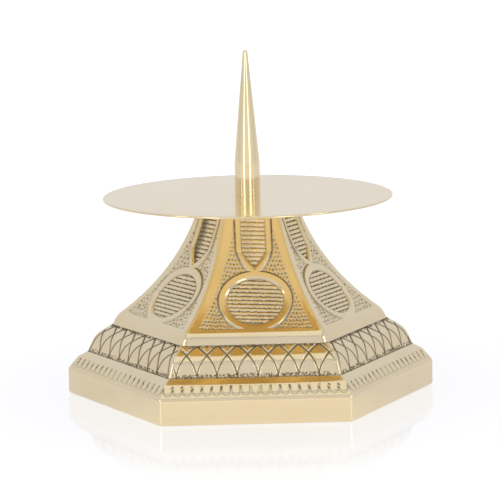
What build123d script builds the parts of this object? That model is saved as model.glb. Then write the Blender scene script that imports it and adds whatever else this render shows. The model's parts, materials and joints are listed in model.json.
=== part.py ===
from build123d import *

import os
from math import asin, cos, hypot, pi, radians, sin, sqrt, tan

# Pricket candle stand: a hollow hexagonal brass casting carries a flat round drip pan and a
# turned spike, and one threaded stud with washers and a nut clamps the three together.
# Millimetres, +Z up, origin at the centre of the underside, one hexagon face towards -Y.

# Casting, outside: each moulding rises by one value and steps in by another, from the floor up
FACES = 6
PLINTH_ACROSS_FLATS = 132.5
PLINTH_RISE = 10.4
REED_BAND_RISE = 5.0
REED_BAND_INSET = 3.8
LEDGE_RISE = 2.0
LEDGE_INSET = 3.35
OVOLO_SIDE_RISE = 7.0
OVOLO_SIDE_INSET = 2.7
OVOLO_TOP_RISE = 4.5
OVOLO_TOP_INSET = 6.35
OVOLO_SHOULDER_RADIUS = 8.0
BAND_RISE = 4.3
BAND_INSET = 2.3
FLARE_RISE = 47.8
FLARE_RADIUS = 86.7
CROWN_ACROSS_FLATS = 34.4
MOULDING_EDGE_RADIUS = 2.5
ARRIS_RADIUS = 1.8

# Casting, inside
WALL = 4.0
CROWN_THICKNESS = 8.0

# Relief panel on each flared face: a sunk ground, an oval frame and above it a pointed frame
PANEL_DEPTH = 0.9
PANEL_BORDER = 3.8
PANEL_FOOT_BORDER = 1.2
PANEL_HEAD_BORDER = 2.5
OVAL_WIDTH = 30.9
OVAL_RISE = 20.7
OVAL_FRAME_SIDE = 4.0
OVAL_FRAME_FOOT = 1.4
OVAL_FRAME_HEAD = 2.7
LANCET_WIDTH = 15.6
LANCET_FRAME = 3.0
LANCET_POINT_RISE = 8.0
LANCET_POINT_FRAME = 2.8
LANCET_POINT_BOW = 0.6
LANCET_OVERLAP = 0.9
RIB_PITCH = 1.57
RIB_CREST_DEPTH = 0.35
RIB_GROOVE_DEPTH = 1.05

# Drip pan
PAN_DIAMETER = 120.0
PAN_THICKNESS = 0.8
PAN_RIM_CHAMFER = 0.2

# Spike
SPIKE_DIAMETER = 10.5
SPIKE_LENGTH = 60.0
SPIKE_FOOT_LENGTH = 14.0
SPIKE_TIP_DIAMETER = 2.0
SPIKE_TIP_CHAMFER = 0.4
SPIKE_FOOT_CHAMFER = 0.25

# Fastening
STUD_DIAMETER = 6.0
STUD_ENGAGEMENT = 11.0
STUD_PROUD_OF_NUT = 2.0
STUD_CHAMFER = 0.7
STUD_HOLE_CLEARANCE = 0.3
THREAD_CLEARANCE = 0.04
TAPPED_HOLE_RUNOUT = 2.0
DRILL_POINT_ANGLE = 118.0
WASHER_DIAMETER = 18.0
WASHER_THICKNESS = 1.6
SPRING_WASHER_SECTION = 1.6
SPRING_WASHER_RADIAL_WIDTH = 2.5
SPRING_WASHER_GAP = 1.2
NUT_SIDES = 6
NUT_ACROSS_FLATS = 10.0
NUT_HEIGHT = 5.0
NUT_CHAMFER_ANGLE = 30.0

# Levels that follow from the sizes above
LEDGE_Z = PLINTH_RISE + REED_BAND_RISE
OVOLO_Z = LEDGE_Z + LEDGE_RISE
SHOULDER_Z = OVOLO_Z + OVOLO_SIDE_RISE
BAND_Z = SHOULDER_Z + OVOLO_TOP_RISE
FLARE_Z = BAND_Z + BAND_RISE
CROWN_Z = FLARE_Z + FLARE_RISE
CEILING_Z = CROWN_Z - CROWN_THICKNESS
PAN_TOP_Z = CROWN_Z + PAN_THICKNESS
TIP_Z = PAN_TOP_Z + SPIKE_LENGTH
WASHER_Z = CEILING_Z - WASHER_THICKNESS
SPRING_WASHER_Z = WASHER_Z - SPRING_WASHER_SECTION
NUT_Z = SPRING_WASHER_Z - NUT_HEIGHT
STUD_Z = NUT_Z - STUD_PROUD_OF_NUT
STUD_TOP_Z = PAN_TOP_Z + STUD_ENGAGEMENT
OVAL_Z = FLARE_Z + PANEL_FOOT_BORDER
OVAL_TOP_Z = OVAL_Z + OVAL_RISE
LANCET_Z = OVAL_TOP_Z - LANCET_OVERLAP
LANCET_SPRING_Z = LANCET_Z + LANCET_POINT_RISE
PANEL_TOP_Z = CROWN_Z - PANEL_HEAD_BORDER

# Apothems that follow: half the width across flats at each level
PLINTH_A = PLINTH_ACROSS_FLATS / 2
LEDGE_A = PLINTH_A - REED_BAND_INSET
OVOLO_A = LEDGE_A - LEDGE_INSET
SHOULDER_A = OVOLO_A - OVOLO_SIDE_INSET
BAND_A = SHOULDER_A - OVOLO_TOP_INSET
FLARE_A = BAND_A - BAND_INSET
CROWN_A = CROWN_ACROSS_FLATS / 2

STUD_HOLE_R = STUD_DIAMETER / 2 + STUD_HOLE_CLEARANCE
THREAD_R = STUD_DIAMETER / 2 + THREAD_CLEARANCE
FACE_ANGLE = 360 / FACES
HALF_FACE = pi / FACES
THROUGH = PLINTH_ACROSS_FLATS
CUT_MARGIN = WALL

# Local x runs out from the axis to the front face here, and across the front face there
SECTION = Plane((0, 0, 0), x_dir=(0, -1, 0), z_dir=(-1, 0, 0))
FRONT = Plane((0, 0, 0), x_dir=(1, 0, 0), z_dir=(0, -1, 0))
UPRIGHT = (Align.CENTER, Align.CENTER, Align.MIN)


def flare_centre():
    """Centre of the flare's arc in the section, from its two ends and its radius."""
    run, rise = CROWN_A - FLARE_A, CROWN_Z - FLARE_Z
    chord = hypot(run, rise)
    reach = sqrt(FLARE_RADIUS**2 - (chord / 2) ** 2)
    middle_a, middle_z = (FLARE_A + CROWN_A) / 2, (FLARE_Z + CROWN_Z) / 2
    return middle_a + reach * rise / chord, middle_z - reach * run / chord


FLARE_CENTRE_A, FLARE_CENTRE_Z = flare_centre()


def on_flare(z, depth=0.0):
    """Section point on the flare at height z, sunk by depth along the surface's normal."""
    angle = asin((FLARE_CENTRE_Z - z) / FLARE_RADIUS)
    radius = FLARE_RADIUS + depth
    return FLARE_CENTRE_A - radius * cos(angle), FLARE_CENTRE_Z - radius * sin(angle)


def flare_arc(z_low, z_high, depth=0.0):
    """The flare's arc between two heights, sunk by depth."""
    return ThreePointArc(*[on_flare(z, depth) for z in (z_low, (z_low + z_high) / 2, z_high)])


def filled(*lines):
    """The flat face that these joined lines enclose."""
    return make_face([edge for line in lines for edge in line.edges()])


def hexagonal(section):
    """The solid whose every face has this half section, with mitred corners."""
    half = extrude(SECTION * section, THROUGH, both=True)
    bar = half + mirror(half, about=Plane.XZ)
    solid = bar
    for turn in range(1, FACES // 2):
        solid = solid & Rot(Z=turn * FACE_ANGLE) * bar
    return solid


def outside_section():
    """Half section of the casting's outside: plinth, mouldings, flare and crown."""
    mouldings = Polyline(
        (0, 0),
        (PLINTH_A, 0),
        (PLINTH_A, PLINTH_RISE),
        (LEDGE_A, LEDGE_Z),
        (OVOLO_A, OVOLO_Z),
        (SHOULDER_A, SHOULDER_Z),
        (BAND_A, BAND_Z),
        (FLARE_A, FLARE_Z),
    )
    rounded = (
        ((PLINTH_A, PLINTH_RISE), MOULDING_EDGE_RADIUS),
        ((LEDGE_A, LEDGE_Z), MOULDING_EDGE_RADIUS),
        ((SHOULDER_A, SHOULDER_Z), OVOLO_SHOULDER_RADIUS),
    )
    for point, radius in rounded:
        mouldings = fillet(mouldings.vertices().sort_by_distance(point)[0], radius)
    crown = Polyline((CROWN_A, CROWN_Z), (0, CROWN_Z), (0, 0))
    return filled(mouldings, flare_arc(FLARE_Z, CROWN_Z), crown)


def inside_section():
    """Half section of the hollow: upright behind the plinth, sloping, then parallel to the flare."""
    radius = FLARE_RADIUS + WALL
    foot = on_flare(FLARE_Z, WALL)
    head = (FLARE_CENTRE_A - sqrt(radius**2 - (FLARE_CENTRE_Z - CEILING_Z) ** 2), CEILING_Z)
    plinth_a = PLINTH_A - WALL
    lower = Polyline((0, 0), (plinth_a, 0), (plinth_a, PLINTH_RISE - WALL / 2), foot)
    upper = Polyline(head, (0, CEILING_Z), (0, 0))
    return filled(lower, RadiusArc(foot, head, radius), upper)


def flare_arrises(solid):
    """The edges that run up the six corners of the flare."""
    tolerance = ARRIS_RADIUS / 100
    found = []
    for edge in solid.edges():
        low, high = edge.position_at(0), edge.position_at(1)
        turns = [Vector(point.X, point.Y).get_angle(Vector(1, 0)) % FACE_ANGLE for point in (low, high)]
        at_corner = all(min(turn, FACE_ANGLE - turn) < tolerance for turn in turns)
        if at_corner and min(low.Z, high.Z) > FLARE_Z - tolerance and abs(high.Z - low.Z) > tolerance:
            found.append(edge)
    return found


def oval_outline(width, z_low, z_high):
    """Front-view ellipse between two heights."""
    return Pos(0, (z_low + z_high) / 2) * Ellipse(width / 2, (z_high - z_low) / 2)


def lancet_outline(width, z_point):
    """Front-view drop: upright sides from above the crown, drawn in by two arcs to a point below."""
    half, top = width / 2, CROWN_Z + CUT_MARGIN
    left = SagittaArc((-half, LANCET_SPRING_Z), (0, z_point), -LANCET_POINT_BOW)
    right = SagittaArc((0, z_point), (half, LANCET_SPRING_Z), -LANCET_POINT_BOW)
    sides = Polyline((half, LANCET_SPRING_Z), (half, top), (-half, top), (-half, LANCET_SPRING_Z))
    return filled(left, right, sides)


def through_front(outline):
    """A front-view outline carried through the front face."""
    return extrude(FRONT * outline, THROUGH)


def across_front(section):
    """A section carried across the front face."""
    return extrude(SECTION * section, THROUGH, both=True)


def sunk_ground():
    """The sunk ground of the front panel, inside its borders and around both frames."""
    layer = filled(
        flare_arc(OVAL_Z, PANEL_TOP_Z, PANEL_DEPTH),
        flare_arc(OVAL_Z, PANEL_TOP_Z, -CUT_MARGIN),
        Line(on_flare(OVAL_Z, PANEL_DEPTH), on_flare(OVAL_Z, -CUT_MARGIN)),
        Line(on_flare(PANEL_TOP_Z, PANEL_DEPTH), on_flare(PANEL_TOP_Z, -CUT_MARGIN)),
    )
    apex = PANEL_BORDER / tan(HALF_FACE)
    half_width = (THROUGH - apex) * tan(HALF_FACE)
    between_borders = filled(Polyline((0, -apex), (half_width, -THROUGH), (-half_width, -THROUGH), (0, -apex)))
    ground = across_front(layer) & extrude(between_borders, CROWN_Z)
    ground = ground - through_front(oval_outline(OVAL_WIDTH, OVAL_Z, OVAL_TOP_Z))
    return ground - through_front(lancet_outline(LANCET_WIDTH, LANCET_Z))


def ribbed_insides():
    """What is sunk inside the front panel's two frames, down to a floor of level ribs."""
    count = int((PANEL_TOP_Z - OVAL_Z) / RIB_PITCH)
    head_z = OVAL_Z + count * RIB_PITCH
    floor = []
    for rib in range(count):
        groove_z = OVAL_Z + rib * RIB_PITCH
        floor.append(on_flare(groove_z, RIB_GROOVE_DEPTH))
        floor.append(on_flare(groove_z + RIB_PITCH / 2, RIB_CREST_DEPTH))
    floor.append(on_flare(head_z, RIB_GROOVE_DEPTH))
    layer = filled(
        Polyline(on_flare(OVAL_Z, -CUT_MARGIN), *floor, on_flare(head_z, -CUT_MARGIN)),
        flare_arc(OVAL_Z, head_z, -CUT_MARGIN),
    )
    oval = oval_outline(
        OVAL_WIDTH - 2 * OVAL_FRAME_SIDE, OVAL_Z + OVAL_FRAME_FOOT, OVAL_TOP_Z - OVAL_FRAME_HEAD
    )
    lancet = lancet_outline(LANCET_WIDTH - 2 * LANCET_FRAME, LANCET_Z + LANCET_POINT_FRAME)
    return across_front(layer) & (through_front(oval) + through_front(lancet))


def base_casting():
    """Hollow hexagonal casting with rounded arrises, a bored crown and six relief panels."""
    casting = hexagonal(outside_section())
    casting = fillet(flare_arrises(casting), ARRIS_RADIUS)
    casting = casting - hexagonal(inside_section())
    casting = casting - Pos(0, 0, CEILING_Z) * Cylinder(STUD_HOLE_R, CROWN_THICKNESS, align=UPRIGHT)
    panel = [sunk_ground(), ribbed_insides()]
    return casting - [Rot(Z=turn * FACE_ANGLE) * cut for turn in range(FACES) for cut in panel]


def ring(outer_r, inner_r, z, height):
    """A flat round ring standing on height z."""
    disc = Cylinder(outer_r, height, align=UPRIGHT) - Cylinder(inner_r, height, align=UPRIGHT)
    return Pos(0, 0, z) * disc


def drip_pan():
    """Flat sheet disc with a hole for the stud and a softened rim."""
    pan = ring(PAN_DIAMETER / 2, STUD_HOLE_R, CROWN_Z, PAN_THICKNESS)
    rim = pan.edges().filter_by(GeomType.CIRCLE).sort_by(SortBy.RADIUS)[-2:]
    return chamfer(rim, PAN_RIM_CHAMFER)


def pricket_spike():
    """Turned spike: straight foot, long straight taper, blunt tip, drilled and tapped from below."""
    foot_r, tip_r = SPIKE_DIAMETER / 2, SPIKE_TIP_DIAMETER / 2
    hole_z = STUD_TOP_Z + TAPPED_HOLE_RUNOUT
    hole_point_z = hole_z + THREAD_R / tan(radians(DRILL_POINT_ANGLE / 2))
    tip_edge_z = TIP_Z - SPIKE_TIP_CHAMFER
    side = Polyline(
        (0, hole_point_z),
        (THREAD_R, hole_z),
        (THREAD_R, PAN_TOP_Z),
        (foot_r - SPIKE_FOOT_CHAMFER, PAN_TOP_Z),
        (foot_r, PAN_TOP_Z + SPIKE_FOOT_CHAMFER),
        (foot_r, PAN_TOP_Z + SPIKE_FOOT_LENGTH),
        (tip_r, tip_edge_z),
        (tip_r - SPIKE_TIP_CHAMFER, TIP_Z),
        (0, TIP_Z),
        (0, hole_point_z),
    )
    return revolve(FRONT * filled(side), Axis.Z)


def tie_stud():
    """Threaded stud from below the nut up into the spike, with chamfered ends."""
    stud = Pos(0, 0, STUD_Z) * Cylinder(STUD_DIAMETER / 2, STUD_TOP_Z - STUD_Z, align=UPRIGHT)
    return chamfer(stud.edges().filter_by(GeomType.CIRCLE), STUD_CHAMFER)


def flat_washer():
    """Wide flat washer against the underside of the crown."""
    return ring(WASHER_DIAMETER / 2, STUD_HOLE_R, WASHER_Z, WASHER_THICKNESS)


def spring_washer():
    """Split ring, pressed flat between the flat washer and the nut."""
    outer_r = STUD_HOLE_R + SPRING_WASHER_RADIAL_WIDTH
    whole = ring(outer_r, STUD_HOLE_R, SPRING_WASHER_Z, SPRING_WASHER_SECTION)
    split = Box(
        outer_r, SPRING_WASHER_GAP, SPRING_WASHER_SECTION, align=(Align.MIN, Align.CENTER, Align.MIN)
    )
    return whole - Pos(0, 0, SPRING_WASHER_Z) * split


def hex_nut():
    """Plain hexagon nut with both faces chamfered."""
    flat_r = NUT_ACROSS_FLATS / 2
    corner_r = flat_r / cos(pi / NUT_SIDES)
    drop = (corner_r - flat_r) * tan(radians(NUT_CHAMFER_ANGLE))
    blank = extrude(RegularPolygon(corner_r, NUT_SIDES), NUT_HEIGHT)
    turned = Polyline(
        (0, 0),
        (flat_r, 0),
        (corner_r, drop),
        (corner_r, NUT_HEIGHT - drop),
        (flat_r, NUT_HEIGHT),
        (0, NUT_HEIGHT),
        (0, 0),
    )
    nut = blank & revolve(FRONT * filled(turned), Axis.Z)
    return Pos(0, 0, NUT_Z) * (nut - Cylinder(THREAD_R, NUT_HEIGHT, align=UPRIGHT))


PIECES = {
    "base_casting": base_casting,
    "drip_pan": drip_pan,
    "pricket_spike": pricket_spike,
    "tie_stud": tie_stud,
    "flat_washer": flat_washer,
    "spring_washer": spring_washer,
    "hex_nut": hex_nut,
}

os.makedirs("parts", exist_ok=True)
for name, make in PIECES.items():
    export_step(make(), f"parts/{name}.step")
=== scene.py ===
import json
from math import asin, atan2, ceil, cos, hypot, pi, radians, sin, sqrt, tan

import bpy
import numpy as np
from mathutils import Matrix, Vector

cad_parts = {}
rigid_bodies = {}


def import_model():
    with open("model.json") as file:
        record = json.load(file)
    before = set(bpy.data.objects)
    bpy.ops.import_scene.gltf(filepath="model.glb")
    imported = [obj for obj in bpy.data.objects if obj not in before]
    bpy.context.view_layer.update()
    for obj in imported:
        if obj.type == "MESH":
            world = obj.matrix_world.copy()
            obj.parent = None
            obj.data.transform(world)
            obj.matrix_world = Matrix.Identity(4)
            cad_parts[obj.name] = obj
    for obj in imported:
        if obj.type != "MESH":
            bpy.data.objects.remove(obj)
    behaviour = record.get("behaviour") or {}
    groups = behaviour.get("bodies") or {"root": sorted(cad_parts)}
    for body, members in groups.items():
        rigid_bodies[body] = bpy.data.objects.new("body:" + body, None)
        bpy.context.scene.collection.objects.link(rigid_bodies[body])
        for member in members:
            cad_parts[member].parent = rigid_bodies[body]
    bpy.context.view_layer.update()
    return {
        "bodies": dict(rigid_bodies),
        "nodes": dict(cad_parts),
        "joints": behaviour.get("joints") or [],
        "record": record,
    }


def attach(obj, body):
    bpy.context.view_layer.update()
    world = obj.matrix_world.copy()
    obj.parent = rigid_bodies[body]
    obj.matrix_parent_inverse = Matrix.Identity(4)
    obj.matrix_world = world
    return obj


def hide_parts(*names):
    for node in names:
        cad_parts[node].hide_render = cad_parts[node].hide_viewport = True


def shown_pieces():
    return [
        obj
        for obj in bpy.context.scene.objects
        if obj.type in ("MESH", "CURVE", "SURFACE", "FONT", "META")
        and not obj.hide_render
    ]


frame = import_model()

# Pricket candle stand: the cast base is modelled again with all its relief, the pan, spike and stud
# are turned again with their fine edges, and the nut and washers are the CAD solids.
# Sizes are in millimetres, and meshes are made in metres.
MM = 0.001

# Casting, outside and inside
FACES = 6
PLINTH_A = 66.25
PLINTH_Z = 10.4
LEDGE_A, LEDGE_Z = 62.45, 15.4
OVOLO_A, OVOLO_Z = 59.1, 17.4
SHOULDER_A, SHOULDER_Z = 56.4, 24.4
BAND_A, BAND_Z = 50.05, 28.9
BAND_BULGE_A, BAND_BULGE_Z, BAND_BULGE_RADIUS = 49.2, 31.2, 6.0
FLARE_A, FLARE_Z = 47.75, 33.2
CROWN_A, CROWN_Z = 17.2, 81.0
FLARE_RADIUS = 86.7
WALL = 4.0
CEILING_Z = 73.0
BORE_RADIUS = 3.3
HOLLOW_CORNER_RADIUS = 2.0
FOOT_EDGE_RADIUS = 0.8
MOULDING_EDGE_RADIUS = 2.5
OVOLO_SHOULDER_RADIUS = 8.0
INNER_CORNER_RADIUS = 0.35
BAND_EDGE_RADIUS = 1.6
CROWN_EDGE_RADIUS = 0.5

# Rounding of the six corners, by height
CORNER_HEIGHTS = (0.0, 10.0, 15.0, 17.4, 20.0, 25.0, 28.9, 31.0, 33.2, 36.0, 42.0, 81.0)
CORNER_RADII = (1.8, 1.8, 1.6, 1.6, 2.4, 3.2, 4.2, 4.6, 4.2, 2.8, 1.9, 1.8)

# The flare stands a little turned on the mouldings
TWIST_Z, TWIST_TOP_Z = 17.4, 66.0
TWIST = radians(2.7)

# Flared panel
PANEL_DEPTH = 0.62
PANEL_BORDER = 3.4
PANEL_Z, PANEL_TOP_Z = 34.4, 78.5
OVAL_Z, OVAL_TOP_Z, OVAL_HALF = 33.7, 55.1, 15.4
OVAL_INNER_Z, OVAL_INNER_TOP_Z, OVAL_INNER_HALF = 36.0, 51.9, 11.6
LANCET_HALF, LANCET_Z = 7.8, 52.4
LANCET_INNER_HALF, LANCET_INNER_Z = 5.0, 56.3
LANCET_SPRING_Z = 62.2
LANCET_BOW, LANCET_INNER_BOW = 0.84, 0.5
LANCET_POCKET = 0.5
FRONT_PANEL_SHIFT = 0.35
FRAME_OUTER_SLOPE, FRAME_INNER_SLOPE = 0.7, 1.2
FRAME_LOW_SPREAD = 0.45
OVAL_WEAR_DROP = 4.0
OUTLINE_INSET, OUTLINE_HALF = 0.28, 0.36
OUTLINE_WORN_SHIFT, OUTLINE_WORN_FADE = 0.7, 0.45
RIB_PITCH = 1.78
RIB_CREST_DEPTH = 0.45
RIB_GROOVE_DEPTH = 0.95
RIB_GROOVE_HALF = 0.25
RIB_LEAN = 0.16
RIB_WANDER = 0.04
RIB_WAVES = (1.9, 4.1)
FRONT_RIB_TILT = 0.06
RIB_END = 0.3
FOOT_SLOPE, FOOT_OVERRUN = 0.45, 0.1
BORDER_SLOPE, BORDER_EDGE, BORDER_OVERRUN = 5.0, 0.9, 0.3
CUT_DEPTH = 0.3
PUNCH_SPACING, PUNCH_HALF = 1.38, 0.42
SIDE_PUNCH_SPACING, SIDE_PUNCH_HALF = 2.1, 0.6
PUNCH_HALF_HEIGHT = 0.48
PUNCH_DEPTH = 0.29
CUT_TOP_Z, CUT_TOP_FADE = 75.5, 1.5
RAGGED_LENGTH = 0.7
ROUGHNESS_OF_RECESS = 0.04

# Dirt left in the panels by polishing, and painted shade at the frames' inner edges; 1 for black, and RAGGED
# is what a ragged cut adds
RIB_DIRT, RIB_DIRT_RAGGED = 0.95, 0.3
RIB_DIRT_HALF, RIB_DIRT_HALF_RAGGED = 0.19, 0.14
OUTLINE_DIRT, OUTLINE_DIRT_RAGGED = 0.85, 0.3
PUNCH_DIRT, PUNCH_DIRT_RAGGED = 0.42, 0.62
# Dark line just inside the frames' inner edges: dirt in the crease and painted shade
SILL_DIRT_AND_SHADE, SILL_DIRT_AND_SHADE_HALF, SILL_DIRT_AND_SHADE_INSET = 0.7, 0.22, 0.1
GROUND_DIRT = 0.08
POINT_DIRT = 0.4
FRONT_LANCET_DIRT = 0.45
LEFT_POCKET_DIRT = 1.1
POCKET_DIRT_FROM, POCKET_DIRT_TO = -1.5, 3.0
POCKET_DIRT_AT_POINT = 0.3
DIRT_LEAST, DIRT_MOST = 0.85, 1.1

# Frieze of interlaced pointed arches on the ovolo
ARCH_PITCH = 8.05
ARCH_FEET = 6
ARCH_LEAN = 1.7
ARCH_UNEVEN = 0.22
FRONT_ARCH_SHIFT = 1.2
GROOVE_HALF = 0.6
GROOVE_HALF_AT_TOP = 0.8
GROOVE_DEPTH = 0.42
SIDE_STROKE = 0.7
LINE_HALF, SIDE_LINE_HALF, LINE_SPREAD_AT_TOP = 0.27, 0.36, 0.2
PITS_PER_LINE = 220
PIT_DEPTH = 0.2
PIT_RADIUS_LEAST, PIT_RADIUS_MOST = 0.22, 0.5
PITS_FROM, FOOT_PITS_TO, TOP_PITS_TO = 0.15, 1.6, 1.2
PITS_ACROSS = 0.97
FRIEZE_END, FRIEZE_END_FADE = 0.4, 1.6
SEAM_DIRT = 0.9
FOOT_SEAM_HALF, FOOT_SEAM_RAGGED = 0.25, 0.4
TOP_SEAM_HALF, TOP_SEAM_RAGGED = 0.2, 0.3

# Reeded edge under the ledge
REEDS = 19
REED_PITCH = 3.86
REED_HALF = 1.6
REED_FOOT_Z = 11.7
REED_HEIGHT = 0.2
REED_HEAD_FADE = 0.9
# Dark ring round each reed: dirt in the gap and painted shade beside the raised reed
REED_GAP_AT, REED_GAP_HALF = 1.04, 0.13
REED_DIRT_AND_SHADE, REED_DIRT_AND_SHADE_LOST_AT_END = 0.9, 0.6
REED_DIRT_AND_SHADE_HEAD_FADE = 0.4
REED_DIRT_AND_SHADE_FOOT, REED_DIRT_AND_SHADE_FOOT_FADE = 0.4, 0.6
REED_ZONE_Z, REED_ZONE_HEAD_GAP = 10.9, 0.1

# Pan, spike and stud
PAN_RADIUS = 60.0
PAN_THICKNESS = 0.8
PAN_TOP_Z = CROWN_Z + PAN_THICKNESS
PAN_SEAT_RADIUS = 20.0
PAN_RIM_ROUND = 0.3
PAN_RINGS = (BORE_RADIUS, PAN_SEAT_RADIUS, 35.0, 50.0, 57.0)
SPIKE_RADIUS = 5.25
SPIKE_FOOT_LENGTH = 14.0
SPIKE_LENGTH = 60.0
SPIKE_TIP_Z = PAN_TOP_Z + SPIKE_LENGTH
SPIKE_TIP_RADIUS = 1.0
SPIKE_TIP_HEIGHT = SPIKE_TIP_RADIUS * 0.75
SPIKE_TIP_FULLNESS = 0.8
SPIKE_FOOT_RELIEF, SPIKE_FOOT_RELIEF_RISE = 0.35, 0.22
SPIKE_FOOT_EDGE_RISE = 1.0
SPIKE_SHOULDER_DROPS = ((-1.2, 0.0), (-0.5, 0.01), (0.3, 0.05), (1.2, 0.14))
SPIKE_TAPER_RISE = 3.0
SPIKE_HOLE_RADIUS = 3.04
SPIKE_HOLE_DEPTH, SPIKE_HOLE_POINT = 13.0, 1.8
SPIKE_HOLE_Z = PAN_TOP_Z + SPIKE_HOLE_DEPTH
SPIKE_HOLE_POINT_Z = SPIKE_HOLE_Z + SPIKE_HOLE_POINT
STUD_Z = 62.8
STUD_ENGAGEMENT = 11.0
STUD_TOP_Z = PAN_TOP_Z + STUD_ENGAGEMENT
STUD_RADIUS = 2.97
THREAD_PITCH = 1.0
THREAD_DEPTH = 0.55
THREAD_FULLNESS, THREAD_STEEPNESS = 1.25, 1.5
STUD_CHAMFER = 0.7

# Mesh fineness: rows per rib or the longest step between rows, columns across one face,
# and sides of what is turned
ROWS_PER_RIB = 8
PLINTH_STEP, PLINTH_EDGE_STEP, LEDGE_STEP, BAND_STEP, RELIEF_STEP = 3.0, 1.5, 1.0, 1.2, 0.36
PLINTH_EDGE_Z = 7.5
FLARE_JOIN_RISE, FLARE_POINTS = 2.0, 120
CROWN_GAP = 0.01
HOLLOW_ROWS = 18
PLAIN_COLUMNS = 24
REED_COLUMNS = 150
FRIEZE_COLUMNS = 180
FLARE_COLUMNS = ((42.0, 150), (50.0, 124), (60.0, 96), (CROWN_Z, 72))
CORNER_STEPS = 6
TURN_PER_ROW = radians(9)
TURN_PER_POINT = radians(3)
LEAST_TURN = radians(2)
PAN_SIDES, SPIKE_SIDES, STUD_SIDES = 192, 128, 48
PAN_RIM_POINTS, SPIKE_TAPER_POINTS, SPIKE_TIP_POINTS = 9, 24, 8
ROWS_PER_THREAD = 10

# Handwork: rows and marks on a face before they repeat, and how unevenly a face is cut
HAND_ROWS, HAND_MARKS = 31, 40
FRONT_FACE, LEFT_FRONT_FACE = 0, 5
FIRST_SEED = 40
FAINTEST_PUNCH, SIDE_FAINTEST_PUNCH = 0.4, 0.1
PUNCH_STRAY, SIDE_PUNCH_STRAY = 0.13, 0.3
ROW_SLIP, ROW_SLIP_SHARE, SIDE_ROW_SLIP_SHARE = 0.25, 0.4, 1.0
SIDE_POCKET_DIRT = 0.35
SIDE_RIB_TILT = 0.03
SIDE_PANEL_SHIFT = 0.3
SIDE_LANCET_DIRT = (0.75, 1.1)
SIDE_OUTLINE = 0.75

HALF_FACE = pi / FACES

# Flat map of the casting: three faces side by side in two rows, each a little wider than the plinth's side
MAP_FACES_ACROSS, MAP_FACES_ALONG = 3, 2
MAP_WIDTH = 2 * PLINTH_A / cos(HALF_FACE) * 0.52
MAP_FILL_ACROSS, MAP_FILL_ALONG, MAP_MARGIN = 0.96, 0.98, 0.01


def flare_centre():
    """Centre of the flare's arc in the section, from its two ends and its radius."""
    run, rise = CROWN_A - FLARE_A, CROWN_Z - FLARE_Z
    chord = hypot(run, rise)
    reach = sqrt(FLARE_RADIUS**2 - (chord / 2) ** 2)
    return (FLARE_A + CROWN_A) / 2 + reach * rise / chord, (FLARE_Z + CROWN_Z) / 2 - reach * run / chord


FLARE_CENTRE_A, FLARE_CENTRE_Z = flare_centre()


def on_flare(z):
    """Section point on the flare at height z."""
    angle = asin((FLARE_CENTRE_Z - z) / FLARE_RADIUS)
    return FLARE_CENTRE_A - FLARE_RADIUS * cos(angle), FLARE_CENTRE_Z - FLARE_RADIUS * sin(angle)


def rounded(corners):
    """Section points along straight runs through these corners, each turned on its own radius."""
    points = [corners[0][:2]]
    for before, (a, z, radius), after in zip(corners, corners[1:], corners[2:]):
        arriving = atan2(z - before[1], a - before[0])
        leaving = atan2(after[1] - z, after[0] - a)
        turn = (leaving - arriving + pi) % (2 * pi) - pi
        if radius == 0 or abs(turn) < LEAST_TURN:
            points.append((a, z))
            continue
        side = 1 if turn > 0 else -1
        setback = radius * tan(abs(turn) / 2)
        start = (a - setback * cos(arriving), z - setback * sin(arriving))
        centre = (start[0] - side * radius * sin(arriving), start[1] + side * radius * cos(arriving))
        steps = ceil(abs(turn) / TURN_PER_POINT)
        for step in range(steps + 1):
            angle = arriving + turn * step / steps
            points.append((centre[0] + side * radius * sin(angle), centre[1] - side * radius * cos(angle)))
    points.append(corners[-1][:2])
    return points


class SectionLine:
    """A section's line by distance along it, with the direction it faces."""

    def __init__(self, points):
        self.a, self.z = np.array(points).T
        steps = np.hypot(np.diff(self.a), np.diff(self.z))
        self.s = np.concatenate([[0], np.cumsum(steps)])
        heading = np.unwrap(np.arctan2(np.diff(self.z), np.diff(self.a)))
        self.middle_s = (self.s[1:] + self.s[:-1]) / 2
        self.heading = heading
        turned = np.concatenate([[0], np.cumsum(np.abs(np.diff(heading))), [0]])
        turned[-1] = turned[-2]
        self.turned = turned

    def at_height(self, z):
        """Distance along the line at a height."""
        return float(np.interp(z, self.z, self.s))

    def stations(self, start, end, step):
        """Distances from start to end, no further apart than step and close where the line turns."""
        dense = np.unique(np.concatenate([self.s[(self.s > start) & (self.s < end)], [start, end]]))
        effort = dense / step + np.interp(dense, self.s, self.turned) / TURN_PER_ROW
        count = max(1, ceil(effort[-1] - effort[0] - 1e-6))
        return np.interp(np.linspace(effort[0], effort[-1], count + 1), effort, dense)

    def row(self, s, columns, zone):
        """One row of the casting's mesh: where it lies, which way it faces and how it is divided."""
        heading = float(np.interp(s, self.middle_s, self.heading))
        z = float(np.interp(s, self.s, self.z))
        return {
            "s": float(s),
            "a": float(np.interp(s, self.s, self.a)),
            "z": z,
            "out": sin(heading),
            "up": -cos(heading),
            "columns": columns,
            "corner": float(np.interp(z, CORNER_HEIGHTS, CORNER_RADII)),
            "zone": zone,
            "round": False,
        }


def eased(low, high, value):
    """0 below low, 1 above high and a smooth rise between them."""
    share = np.clip((value - low) / (high - low), 0, 1)
    return share * share * (3 - 2 * share)


def oval_distance(x, z, climb, half, z_low, z_high):
    """Distance outside an ellipse on the flare, less than 0 inside it."""
    tall = (z_high - z_low) / 2
    across, along = x / half, (z - (z_low + z_high) / 2) / tall
    size = np.maximum(np.hypot(across, along), 1e-4)
    return (size - 1) * size / np.hypot(across / half, along * climb / tall)


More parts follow.
